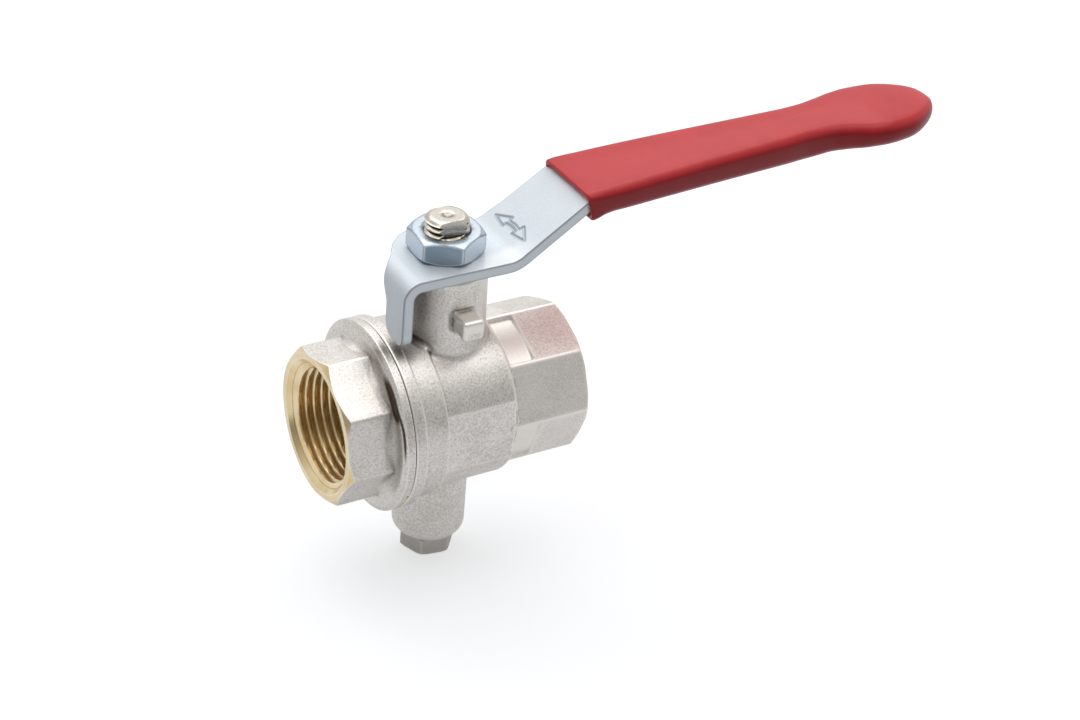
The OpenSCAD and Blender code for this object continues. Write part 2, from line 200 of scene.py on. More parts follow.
def polyline(points, steps):
    """Stations along a run of corner points, with the given number of steps on each leg."""
    points = np.asarray(points, dtype=np.float64)
    legs = [a + (b - a) * np.linspace(0, 1, n, endpoint=False)[:, None]
            for a, b, n in zip(points[:-1], points[1:], steps)]
    return np.vstack(legs + [points[-1:]])


def straight(along, radius):
    """Stations that all have the same radius."""
    return np.column_stack([along, np.full(len(along), radius)])


def around(rows, steps):
    """Both numbers of each station, repeated once for each step round the piece."""
    rows = np.asarray(rows, dtype=np.float64)
    return np.repeat(rows[:, :1], steps, axis=1), np.repeat(rows[:, 1:], steps, axis=1)


def polygon_radius(angle, sides, half_flat, first_flat, round_to, k=0.12):
    """Radius of a regular polygon at an angle: half_flat / cos of the angle from the nearest flat's
    middle, with each corner rounded off by a smooth minimum with round_to. The first flat's
    direction is in degrees."""
    step = 2 * math.pi / sides
    away = (angle - math.radians(first_flat) + step / 2) % step - step / 2
    sharp = half_flat / np.cos(away)
    return -k * np.log(np.exp(-sharp / k) + np.exp(-round_to / k))


def thread_wave(turns, point=0.96):
    """Triangle wave from 0 at the root to 1 at the crest, once per turn, rounded where point < 1."""
    return 0.5 + 0.5 * np.arcsin(point * np.cos(2 * math.pi * turns)) / math.asin(point)


def port_radius(x, theta, inner_end, outer_end, root, shift=0.0):
    """Radius inside a threaded port: the root less the thread's wave, which fades out over the last
    1.2 mm, or a lead-in cone at the outer end where that is wider. Shift turns the thread."""
    pitch = 25.4 / 11
    turns = x / pitch - theta / (2 * math.pi) - shift
    depth = 1.42 * thread_wave(turns) * np.clip(np.abs(x - inner_end) / 1.2, 0, 1)
    lead_in = 16.9 - 3.2 * np.abs(x - outer_end)
    return np.maximum(root - depth, lead_in)


# End connector

def end_connector():
    """Connector as one closed grid: stations (x, r) along the profile by angle round the pipe. They
    run down the outside to the octagon and the mouth, and back through the thread."""
    theta = np.linspace(0, 2 * math.pi, 448, endpoint=False)
    fillet = np.linspace(0, math.pi / 2, 12)
    outside = np.vstack([
        polyline([(-8.98, SEAT_POCKET), (-8.98, 20.9), (-9.58, JOINT), (-17.2, JOINT),
                  (-17.2, 19.9), (-19.2, 19.9), (-19.2, 25.9), (-19.32, 26.05)],
                 [3, 2, 8, 2, 2, 5, 2]),
        polyline([(-19.5, 26.1), (-21.35, 26.1), (-21.5, 26.06), (-22.26, 24.85), (-22.4, 24.6),
                  (-22.4, 22.9)], [8, 2, 6, 2, 5]),
        np.column_stack([-25.4 + 3.0 * np.cos(fillet), 22.9 - 2.9 * np.sin(fillet)])[1:],
    ])
    octagon_x = np.concatenate([np.linspace(-25.8, -34.0, 16), np.linspace(-34.1, -35.6, 14)])
    mouth = polyline([(-35.62, 19.9), (-35.62, 18.35), (-35.55, 18.22), (-34.35, 17.0),
                      (-34.25, 16.95)], [3, 2, 8, 1])
    thread_x = np.linspace(-34.2, -19.2, 140)
    inside = polyline([(-19.0, PIPE_ROOT), (-19.0, 12.1), (-18.9, WATERWAY), (-16.02, WATERWAY),
                       (-16.02, SEAT_POCKET), (-9.1, SEAT_POCKET)], [4, 1, 3, 4, 5])
    runs = [outside, straight(octagon_x, OCTAGON_HALF), mouth, straight(thread_x, PIPE_ROOT), inside]
    kind = np.repeat([0, 1, 0, 2, 0], [len(run) for run in runs])[:, None]
    octagonal, threaded = kind == 1, kind == 2
    x, r = around(np.vstack(runs), len(theta))
    octagon = polygon_radius(theta, 8, OCTAGON_HALF, 123.3, 21.62)[None]
    cone = OCTAGON_HALF + (x + 35.6) / 1.4 * 1.65
    r = np.where(octagonal, np.minimum(octagon, cone), r)
    on_fillet = (kind == 0) & (x > -26) & (x < -22.41) & (r > 19.5)
    r = np.where(on_fillet, np.maximum(r, octagon), r)
    r = np.where(threaded, port_radius(x, theta, -19.2, -34.2, PIPE_ROOT, 0.6), r)
    grid = np.stack([x, r * np.cos(theta), r * np.sin(theta)], axis=2)
    piece = sheet_object("end_connector_casting", grid, "housing", wrap_rows=True,
                         node="end_connector", slot="connector")
    degrees = np.degrees(theta)[None]
    seam = (x > np.where(degrees > 205, -20.05, -19.45)) & (x < -19.1) & (r > 25.0)
    cone_cut = octagonal & (cone < octagon + 0.02)
    add_attribute(piece, "turned", (x < -35.5) | (r < 18.4) | cone_cut | threaded | seam)
    # Painted shade on the flange: a dark line along its fillet and a haze round it, a patch of painted
    # shade near the lever's tab, and the dark seam behind the flange
    across = np.abs(degrees - 149) / 24
    line_x = -22.42 + 0.4 * smooth_step((degrees - 144) / 16)
    line = 1.3 * np.exp(-((x - line_x) / 0.22) ** 2) * smooth_step(1.5 - across)
    haze = (0.28 * smooth_step((x + 26.0) / 1.2) * smooth_step((-21.8 - x) / 0.8)
            * smooth_step(3.0 - across))
    painted_shade_and_seam = np.maximum(np.maximum(line, haze) * (r > 19.5),
                       2.2 * seam * smooth_step((212 - degrees) / 14))
    painted_shade_and_seam = painted_shade_and_seam + 0.6 * spot_patch(grid, (-20.5, -8.0, 25.0), 9.0)
    width = np.broadcast_to(np.where(threaded, 0.22, 0.5), r.shape)
    edge_attribute(piece, width, less=painted_shade_and_seam)
    split_sharp(piece, 40)
    return piece


# Valve body

# Bores along the pipe, as (from x, to x, radius): joint, ball chamber, seat pocket and waterway
PIPE_BORES = [(-30, -8.8, JOINT), (-12, 9.08, 19.2), (-12, 16.02, SEAT_POCKET), (-12, 60, WATERWAY)]
# Bores about the stem, as (radius, from z, to z), with 99 where one runs on: the stem's hole, the
# room for its flange, the gland, the drain, the plug's hole and the seal's recess
STEM_BORES = [(6.55, 0, 99), (8.3, 0, 22.05), (9.5, 30.15, 99),
              (2.91, -99, 0), (4.85, -99, -30.8), (6.35, -99, -41.3)]
BODY_MOUTH = 35.9  # x of the outlet's face
PLAIN_FLATS = (0, 3)  # flats of the body's octagon that have no cast pocket


def smooth_min(a, b, k):
    """Polynomial smooth minimum: min(a, b) - k h^2 / 4 with h = max(0, 1 - |a - b| / k)."""
    h = np.maximum(k - np.abs(a - b), 0.0) / k
    return np.minimum(a, b) - h * h * k * 0.25


def smooth_max(a, b, k):
    """Smooth maximum, the mirror image of smooth_min."""
    return -smooth_min(-a, -b, k)


def drum(x, rho, x0, x1, radius, soft):
    """Distance to a cylinder along the pipe, from x0 to x1, with its rims rounded by soft."""
    half = (x1 - x0) / 2
    dx = np.abs(x - (x0 + x1) / 2) - half + soft
    dr = rho - radius + soft
    outside = np.hypot(np.maximum(dx, 0), np.maximum(dr, 0))
    return np.minimum(np.maximum(dx, dr), 0) + outside - soft


def block(x, y, z, centre, half, soft):
    """Distance to a box with its edges rounded by soft."""
    qx, qy, qz = (np.abs(p - c) - h + soft for p, c, h in zip((x, y, z), centre, half))
    out = np.sqrt(np.maximum(qx, 0) ** 2 + np.maximum(qy, 0) ** 2 + np.maximum(qz, 0) ** 2)
    return out + np.minimum(np.maximum(qx, np.maximum(qy, qz)), 0) - soft


def body_octagon(x, y, z, rho):
    """Distance to the outlet's octagon: eight flats, six of them with a shallow cast pocket that
    has a cylindrical floor, and a cone that cuts the corners at the mouth."""
    octagon = np.abs(x - 24.0) - 11.9
    for k in range(8):
        angle = math.radians(22.5 + 45 * k)
        lift = y * math.cos(angle) + z * math.sin(angle)
        side = np.abs(z * math.cos(angle) - y * math.sin(angle))
        flat = np.full_like(x, OCTAGON_HALF)
        if k not in PLAIN_FLATS:
            sunk = 0.3 + 0.45 * (19.9 - np.sqrt(19.9 ** 2 - np.minimum(side, 8.0) ** 2))
            flat -= sunk * smooth_step((21.3 - x) / 0.7) * smooth_step((7.6 - side) / 0.6)
        octagon = smooth_max(octagon, lift - flat, 0.45)
    return smooth_max(octagon, (rho - OCTAGON_HALF) * 0.55 + (x - BODY_MOUTH) * 0.83, 0.15)


def body_distance(x, y, z):
    """Signed distance to the valve body: smooth union of drums, octagon, neck, lugs and boss, less
    the bores. Negative inside."""
    rho = np.hypot(y, z)
    axis_r = np.hypot(x, y)
    barrel = drum(x, rho, -9.5, 12.8, 23.06, 1.0)
    barrel = smooth_max(barrel, np.abs(y) - 21.3, 0.1)
    ring = smooth_min(drum(x, rho, -19.2, -15.65, 26.1, 0.45),
                      drum(x, rho, -18.0, -8.5, 24.65, 0.55), 0.3)
    collar = drum(x, rho, 12.0, 13.65, 21.2, 0.4)
    neck = smooth_max((axis_r - 12.37 + 0.02 * z) * 0.9998, z - 42.0, 0.5)
    neck = np.maximum(neck, -z)
    boss = smooth_max(axis_r - 10.06, (axis_r - 10.06) * 0.75 + (-z - 40.2) * 0.66, 0.9)
    boss = smooth_max(np.maximum(boss, z), -z - 42.3, 0.3)
    lug_y = np.abs(y)
    lug_x = np.where(y < 0, x, -x)
    lug_z = z + 0.5 * smooth_step((lug_y - 15.5) / 1.2) * (z < 31)
    lug = block(lug_x, lug_y, lug_z, (0.0, 13.0, 31.35), (3.1, 4.95, 2.6), 1.05)
    shell = smooth_min(smooth_min(barrel, ring, 0.5),
                       smooth_min(body_octagon(x, y, z, rho), collar, 0.5), 0.5)
    shell = smooth_min(shell, boss, 1.8)
    shell = smooth_min(shell, smooth_min(neck, lug, 0.9), 1.5)
    rim, port_end = 0.05, 19.3
    port = np.minimum(drum(x, rho, port_end, 60, 16.7, rim),
                      (rho - 18.25) * 0.707 - (x - BODY_MOUTH) * 0.707)
    bores = [drum(x, rho, *bore, rim) for bore in PIPE_BORES]
    bores += [np.maximum(port, port_end - x), np.maximum(axis_r - 9.5 - (z - 41.4), 41.4 - z)]
    bores += [np.maximum(axis_r - radius, np.maximum(low - z, z - high))
              for radius, low, high in STEM_BORES]
    return smooth_max(shell, -reduce(np.minimum, bores), 0.2)


def surface_net(values, low, step):
    """Surface net of a grid of signed distances: one vertex for each cell that the surface crosses,
    at the mean of its edge crossings, and one quad for each grid edge that it crosses."""
    cells = np.array(values.shape) - 1
    sums = np.zeros((int(cells.prod()), 3), dtype=np.float64)
    hits = np.zeros(int(cells.prod()), dtype=np.int32)
    inside = values < 0
    faces = []
    for axis in range(3):
        spots = np.argwhere(np.diff(inside, axis=axis))
        u, v = (axis + 1) % 3, (axis + 2) % 3
        keep = ((spots[:, [u, v]] > 0) & (spots[:, [u, v]] < cells[[u, v]])).all(axis=1)
        spots = spots[keep]
        one = values[tuple(spots.T)]
        following = spots.copy()
        following[:, axis] += 1
        two = values[tuple(following.T)]
        point = spots.astype(np.float64)
        point[:, axis] += one / (one - two)
        quad = []
        for du, dv in ((0, 0), (1, 0), (1, 1), (0, 1)):
            cell = spots.copy()
            cell[:, u] -= du
            cell[:, v] -= dv
            index = np.ravel_multi_index(tuple(cell.T), tuple(cells))
            np.add.at(sums, index, point)
            np.add.at(hits, index, 1)
            quad.append(index)
        quad = np.column_stack(quad)
        start_in = inside[tuple(spots.T)]
        quad[~start_in] = quad[~start_in][:, ::-1]
        faces.append(quad)
    used = np.flatnonzero(hits)
    remap = np.full(len(hits), -1, dtype=np.int64)
    remap[used] = np.arange(len(used))
    verts = sums[used] / hits[used][:, None] * step + low
    return verts, remap[np.vstack(faces)]


def body_slope(verts, reach=0.02):
    """Direction in which body_distance grows, by central differences, and how fast it grows."""
    slopes = []
    for offset in np.eye(3) * reach:
        ahead, behind = verts + offset, verts - offset
        slopes.append((body_distance(*ahead.T) - body_distance(*behind.T)) / (2 * reach))
    slope = np.column_stack(slopes)
    length = np.linalg.norm(slope, axis=1, keepdims=True)
    return slope / np.maximum(length, 1e-6), length[:, 0]


def level_bend(spots, reach=0.35):
    """Bend of the body's surface: the six neighbours' mean distance less the distance at the spot,
    which is above 0 along outer edges and below 0 in hollows. The octagon and its pockets are raised a
    little, as painted light."""
    bend = -6.0 * body_distance(*spots.T)
    for offset in np.vstack([np.eye(3), -np.eye(3)]) * reach:
        bend += body_distance(*(spots + offset).T)
    x, rho = spots[:, 0], np.hypot(spots[:, 1], spots[:, 2])
    sector = np.degrees(np.arctan2(spots[:, 2], spots[:, 1])) % 360 // 45
    pocket = ((x > 13.2) & (x < 21.6) & (rho > 18.8) & (rho < 21.3)
              & ~np.isin(sector, PLAIN_FLATS))
    # Painted light that lifts the octagon and its pockets
    painted_light = 0.7 * pocket + (x > 13.7) * np.where(sector == 3, 0.48, 0.28)
    gain = np.where(bend > 0, 5.8, np.where(pocket, 1.2, 4.3))
    return np.clip(gain * bend, -1, 1) + painted_light


def valve_body():
    """Body casting: the zero surface of body_distance, on a grid of cells, with each vertex moved
    along the distance's slope until it lies on the surface."""
    step = 0.42
    low = np.array([-20.3, -27.1, -43.3])
    high = np.array([37.0, 27.1, 43.1])
    axes = [np.arange(a, b + step, step) for a, b in zip(low, high)]
    values = np.empty(tuple(len(a) for a in axes), dtype=np.float32)
    yy, zz = np.meshgrid(axes[1], axes[2], indexing="ij")
    for i, x in enumerate(axes[0]):
        values[i] = body_distance(np.full_like(yy, x), yy, zz)
    verts, quads = surface_net(values, low, step)
    for _ in range(3):
        normal, slope = body_slope(verts)
        move = body_distance(*verts.T) / np.maximum(slope, 0.4)
        verts = verts - normal * np.clip(move, -0.2, 0.2)[:, None]
    piece = build_object("valve_body_casting", verts, quads, "housing", node="valve_body", slot="body")
    piece.modifiers.new("thin", "DECIMATE").ratio = 0.55
    thinned = piece.evaluated_get(bpy.context.evaluated_depsgraph_get())
    mesh = bpy.data.meshes.new_from_object(thinned)
    piece.modifiers.clear()
    piece.data = mesh
    spots = np.empty(len(piece.data.vertices) * 3)
    piece.data.vertices.foreach_get("co", spots)
    local = spots.reshape(-1, 3) * 1000 - np.array([STEM_X, 0, 0])
    x, y, z = local.T
    normal, _ = body_slope(local, 0.12)
    piece.data.normals_split_custom_set_from_vertices(normal)
    inward = y * normal[:, 1] + z * normal[:, 2] < 0
    bore = inward & (np.hypot(y, z) < 21.6) & (np.abs(z) < 20)
    corner = (x > 34.6) & (normal[:, 0] > 0.35)
    add_attribute(piece, "turned", bore | corner)
    # Painted shade and light: the neck under the lever painted darker at its left and lighter at its
    # right, a patch of painted shade on the ring near the lever's tab, and painted light on the lugs'
    # tops
    round_stem = np.degrees(np.arctan2(y, x)) % 360
    on_neck = (np.hypot(x, y) < 13.6) & (z > 22)
    painted_shading = (0.52 * smooth_step((277 - round_stem) / 68)
            - 0.45 * smooth_step((round_stem - 280) / 25))
    painted_shading = painted_shading * on_neck * smooth_step((z - 22) / 3)
    painted_shading -= 0.95 * ((np.abs(y) > 13.2) & (np.abs(x) < 3.4) & (z > 31))
    painted_shading += 0.7 * spot_patch(local, (-16.5, -9.3, 23.6), 14.0)
    add_attribute(piece, "edge", np.clip(level_bend(local) - painted_shading, -1, 1))
    return piece


def port_thread():
    """Turns of the outlet thread: a thin ring whose inner side is the threaded port."""
    theta = np.linspace(0, 2 * math.pi, 384, endpoint=False)
    inner = straight(np.linspace(19.5, 34.5, 130), PIPE_ROOT)
    x, r = around(np.vstack([inner, [(34.5, 17.3), (19.5, 17.3)]]), len(theta))
    r[:len(inner)] = port_radius(x, theta, 19.5, 34.5, 16.66)[:len(inner)]
    grid = np.stack([x, r * np.cos(theta), r * np.sin(theta)], axis=2)
    piece = sheet_object("outlet_thread", grid, "housing", wrap_rows=True, slot="connector")
    edge_attribute(piece, 0.3)
    split_sharp(piece, 50)
    return piece


# Turned pieces about the stem

def turned_about_z(name, rows, body, radius, steps, **keys):
    """Turned piece from (z, r) stations, closed at both ends on the axis; radius(z, r, phi) shapes
    the radius as a function of height and angle."""
    phi = np.linspace(0, 2 * math.pi, steps, endpoint=False)
    z, r = around(rows, steps)
    r = radius(z, r, phi[None])
    grid = np.stack([r * np.cos(phi), r * np.sin(phi), z], axis=2)
    return sheet_object(name, grid, body, poles=(True, True), **keys)


def stem():
    """Stem with its tang, flange, ring grooves, thread and flats. The thread's radius is the crest
    less (1 - wave of z / pitch - phi / 2 pi); flats cut it off at |y| = flat by flat / |sin phi|,
    and the tang is cut off the same way on all four sides."""
    pitch, thread_from = 1.75, 42.95
    shank = polyline([(14.2, 0.01), (14.2, 6.5), (18.65, 6.5), (18.7, 7.7), (18.9, 8.0), (20.7, 8.0),
                      (20.9, 7.8), (20.92, 6.5), (23.45, 6.5), (23.45, 5.22), (25.45, 5.22),
                      (25.45, 6.5), (26.65, 6.5), (26.65, 5.22), (28.65, 5.22), (28.65, 6.5),
                      (42.85, 6.5), (42.9, 6.4), (42.9, 5.9)],
                     [4, 8, 2, 2, 3, 2, 3, 2, 3, 2, 3, 2, 3, 2, 3, 12, 1, 3])
    tip = polyline([(55.25, 5.75), (56.05, 4.95), (56.25, 4.6), (56.3, 4.2), (56.3, 2.0), (56.2, 1.6),
                    (55.95, 1.2), (55.75, 0.6), (55.72, 0.01)], [5, 3, 2, 5, 2, 3, 3, 2])
    rows = np.vstack([shank, straight(np.linspace(43.0, 55.2, 90), 5.95), tip])

    def radius(z, r, phi):
        wave = thread_wave(z / pitch - phi / (2 * math.pi))
        fade = np.clip((z - 43.0) / 0.6, 0, 1) * np.clip((55.5 - z) / 0.9, 0, 1)
        r = np.where((z > thread_from) & (r > 5.2), r - (1 - wave) * fade, r)
        flat = 5.3 - 1.3 * smooth_step((z - 51.3) / 0.4)
        across = np.abs(np.sin(phi)) + 1e-9
        r = np.where(z > thread_from, np.minimum(r, flat / across), r)
        tang = np.minimum(2.7 / (np.abs(np.cos(phi)) + 1e-9), 6.0 / across)
        return np.where(z < 18.66, np.minimum(r, tang), r)

    piece = turned_about_z("stem_turned", rows, "handle", radius, 288, node="stem", slot="stem")
    edge_attribute(piece, 1.6)
    split_sharp(piece, 38)
    return piece


def lever_nut():
    """Thin hexagon nut, cut by a 30 degree cone at the top and bottom; its hole is a plain bore
    with a bevel."""
    phi = np.linspace(0, 2 * math.pi, 360, endpoint=False)
    base, top = 45.9, 52.2
    bore = polyline([(base, 6.3), (base + 0.35, 5.98), (top - 0.5, 5.98), (top - 0.08, 6.4),
                     (top, 6.5)], [2, 6, 5, 1])
    crown = polyline([(top, 6.6), (top, 8.55), (top - 0.03, 8.8)], [3, 2])
    side_z = np.concatenate([np.linspace(top - 0.05, top - 1.7, 16), np.linspace(top - 2, base + 2, 5),
                             np.linspace(base + 1.7, base + 0.05, 14)])
    sole = polyline([(base, 8.6), (base, 6.5)], [3])
    z, r = around(np.vstack([bore, crown, straight(side_z, 9.0), sole]), len(phi))
    hexagon = polygon_radius(phi, 6, 9.0, 178.2, 10.33, 0.05)
    cone_top = 8.85 + (top - z) * 1.75
    cone_low = 8.7 + (z - base) * 1.6
    outer = r > 8.9
    r = np.where(outer, np.minimum(hexagon, np.minimum(cone_top, cone_low)), r)
    grid = np.stack([r * np.cos(phi), r * np.sin(phi), z], axis=2)
    piece = sheet_object("lever_nut_hexagon", grid, "handle", wrap_rows=True, node="lever_nut",
                         slot="nut")
    # Painted shade on the flat at 238.2 degrees, and dark specks round the hole
    from_flat = np.abs((np.degrees(phi) - 238.2 + 180) % 360 - 180)
    painted_shade_and_specks = 0.75 * smooth_step((31 - from_flat) / 2) * (outer & (hexagon < cone_top))
    specks = np.sin(5 * phi + 1.3) * np.sin(11 * phi) + 0.5 * np.sin(23 * phi + 6 * r)
    painted_shade_and_specks += 0.6 * smooth_step(0.6 + specks) * smooth_step((7.6 - r) / 0.6) * (z > top - 0.3)
    edge_attribute(piece, 1.3, less=painted_shade_and_specks)
    split_sharp(piece, 25)
    return piece


def drain_plug():
    """Drain plug: hexagon head with a bevel below and a threaded shank."""
    sole, pitch, head_side, shank_side = -47.9, 0.907, 6.75, 4.8
    rows = np.vstack([
        polyline([(sole, 0.01), (sole, 6.3), (-47.87, 6.6)], [5, 2]),
        straight(np.linspace(-47.8, -46.6, 8), head_side),
        straight(np.linspace(-46.2, -42.9, 6), head_side),
        polyline([(-42.62, 6.4), (-42.6, 6.2), (-42.6, 4.85)], [1, 3]),
        straight(np.linspace(-42.4, -33.6, 70), shank_side),
        polyline([(-33.4, 4.3), (-33.3, 4.1), (-33.3, 0.01)], [1, 4]),
    ])

    def radius(z, r, phi):
        hexagon = polygon_radius(phi, 6, head_side, 201, 7.75)
        bevel = 6.9 + (z - sole) * 2.2
        r = np.where(r > head_side - 0.05, np.minimum(hexagon, bevel), r)
        wave = thread_wave(z / pitch - phi / (2 * math.pi))
        return np.where(np.abs(r - shank_side) < 0.01, r - 0.5 * (1 - wave), r)

    piece = turned_about_z("drain_plug_hexagon", rows, "plug", radius, 240, node="drain_plug",
                           slot="plug")
    edge_attribute(piece, 1.0)
    split_sharp(piece, 35)
    return piece


# Lever and grip

def strip_path():
    """Underside line of the bent strip, as stations (x, z, heading): up the tab, along the flat and
    the rise, and into the grip."""
    slope = math.radians(1.6)
    tab_c, rise_c = np.array([-13.0, 40.7]), np.array([12.2, 52.9])
    along, up = np.array([math.cos(RISE), math.sin(RISE)]), np.array([-math.sin(RISE), math.cos(RISE)])
    grip_c = rise_c + 22 * along - 16 * up
    bar_along = np.array([math.cos(slope), math.sin(slope)])
    bar_from = grip_c + 6 * np.array([-math.sin(slope), math.cos(slope)])
    bar_to = bar_from + (150 - 5.5 - bar_from[0]) * bar_along

    def arc(centre, radius, a0, a1, turn, n):
        a = np.linspace(a0, a1, n, endpoint=False)
        x, z = centre[0] + radius * np.cos(a), centre[1] + radius * np.sin(a)
        return np.column_stack([x, z, a + turn * math.pi / 2])

    def line(start, end, heading, n):
        t = np.linspace(0, 1, n, endpoint=False)[:, None]
        points = np.asarray(start) + t * (np.asarray(end) - np.asarray(start))
        return np.column_stack([points, np.full(n, heading)])

    rise_from = rise_c - 10 * up
    return np.vstack([
        line((-15.2, 27.4), (-15.2, 40.7), math.pi / 2, 40),
        arc(tab_c, 2.2, math.pi, math.pi / 2, -1, 20),
        line((-13.0, 42.9), (12.2, 42.9), 0.0, 60),
        arc(rise_c, 10.0, -math.pi / 2, -math.pi / 2 + RISE, 1, 20),
        line(rise_from, rise_from + 22 * along, RISE, 150),
        arc(grip_c, 6.0, math.pi / 2 + RISE, math.pi / 2 + slope, -1, 14),
        line(bar_from, bar_to, slope, 60),
        [[*bar_to, slope]],
    ])


def outline(x, z, on_tab):
    """Near and far edges of the strip, in y, at each station of its path, with the tab's lower
    corners and the bar's end rounded by quarter ellipses."""
    near = np.interp(x, [36.6, 44.6, 118, 150], [-12.8, -10.8, -6.1, -6.1])
    far = np.interp(x, [-18.2, -17.7, -14.3, -11.9, -11.2, -8.0, -4.0, 0.0, 4.0, 8.0, 13.0, 18.0, 24.0,
                        36.6, 44.6, 118, 150],
                    [-0.9, -0.4, 3.1, 7.0, 8.1, 11.25, 13.25, 13.8, 13.6, 12.7, 11.2, 10.4, 9.6,
                     9.2, 7.0, 6.3, 6.3])
    far = far - 2.3 * np.clip((41.7 - z) / 5.2, 0, 1) * on_tab

    def corner(top, height, width):
        drop = np.clip((top - z) / height, 0, 1) * on_tab
        return width * (1 - np.sqrt(1 - np.minimum(drop, 0.9999) ** 2))

    far = far - corner(31.2, 3.8, 3.8)
    near = near + corner(29.8, 2.4, 2.4)
    tip = np.clip((x - 136.0) / 9.0, 0, 1)
    pinch = 1 - np.sqrt(np.maximum(1 - tip ** 2, 0.0004))
    middle = (near + far) / 2
    return near + (middle - near) * pinch, far + (middle - far) * pinch


def lever():
    """Bent strip as a loop of points carried along its path: flat top and underside between the near
    and far edges, with small rounds, bent through the tab, the rise and the bar."""
    thick, bevel = 3.0, 0.28
    path = strip_path()
    x, z, heading = path.T
    out_x, out_z = -np.sin(heading), np.cos(heading)
    on_tab = np.arange(len(path)) < 40 + 20 + 2  # the tab, its bend and the flat's first two
    near, far = outline(np.where(on_tab, x + thick * out_x, x), z, on_tab)
    # The loop: up the near side, over the top, down the far side and back along the underside
    edge = np.linspace(0, math.pi / 2, 5)
    side = np.concatenate([bevel * (1 - np.cos(edge)), np.linspace(0.6, thick - 0.6, 5),
                           thick - bevel * (1 - np.cos(edge[::-1]))])
    inset = np.concatenate([bevel * (1 - np.sin(edge)), np.zeros(5), bevel * (1 - np.sin(edge[::-1]))])
    across = np.linspace(0, 1, 150)[1:-1]
    wide = far - near - 2 * bevel
    y = ([near + s for s in inset] + [near + bevel + wide * s for s in across]
         + [far - s for s in inset[::-1]] + [near + bevel + wide * s for s in across[::-1][::6]])
    y = np.column_stack(y)
    height = np.concatenate([side, np.full(len(across), thick), side[::-1],
                             np.zeros(len(across[::-1][::6]))])
    lift = np.repeat(height[None], len(path), axis=0)
    on_top = lift > thick - 0.001
    up_rise = (x - 17.7) * math.cos(RISE) + (z - 44.7) * math.sin(RISE)
    lift = lift - on_top * arrow_depth(up_rise[:, None], y) * (x > 17)[:, None]
    grid = np.stack([x[:, None] + lift * out_x[:, None], y,
                     z[:, None] + lift * out_z[:, None]], axis=2)
    piece = sheet_object("lever_plate", grid, "handle", poles=(True, True), node="lever", slot="lever")
    # Sheared finish on the two sides between their bevels, and painted light on the top's near part in
    # front of the nut
    sheared = np.zeros(lift.shape)
    for first in (0, len(side) + len(across)):
        sheared[:, first + 3:first + len(side) - 3] = 1
    painted_light_before_nut = (smooth_step((-5.0 - y) / 4) * smooth_step((x[:, None] + 9) / 5)
                  * smooth_step((24 - x[:, None]) / 8))
    add_attribute(piece, "turned", np.where(on_top, painted_light_before_nut, sheared))
    edge_attribute(piece, 0.6, 1)
    split_sharp(piece, 30)
    return piece


# Corners of the stamped double arrow: (distance up the rise, distance across)
ARROW = [(2.8, 7.0), (5.45, 1.8), (4.2, 1.6), (4.5, -1.0), (4.25, -3.4), (5.7, -3.75), (3.05, -8.2),
         (2.0, -2.7), (3.2, -3.1), (3.45, -0.8), (3.1, 1.9), (2.0, 1.7)]


def arrow_depth(s, y):
    """Depth of the stamped double arrow: a smooth groove, deepest on the closed outline through the
    corner points."""
    nearest = np.full(np.broadcast(s, y).shape, 9.0)
    for (s0, y0), (s1, y1) in zip(ARROW, ARROW[1:] + ARROW[:1]):
        run_s, run_y = s1 - s0, y1 - y0
        part = np.clip(((s - s0) * run_s + (y - y0) * run_y) / (run_s ** 2 + run_y ** 2), 0, 1)
        nearest = np.minimum(nearest, np.hypot(s - s0 - run_s * part, y - y0 - run_y * part))
    return 0.3 * smooth_step((0.36 - nearest) / 0.26)


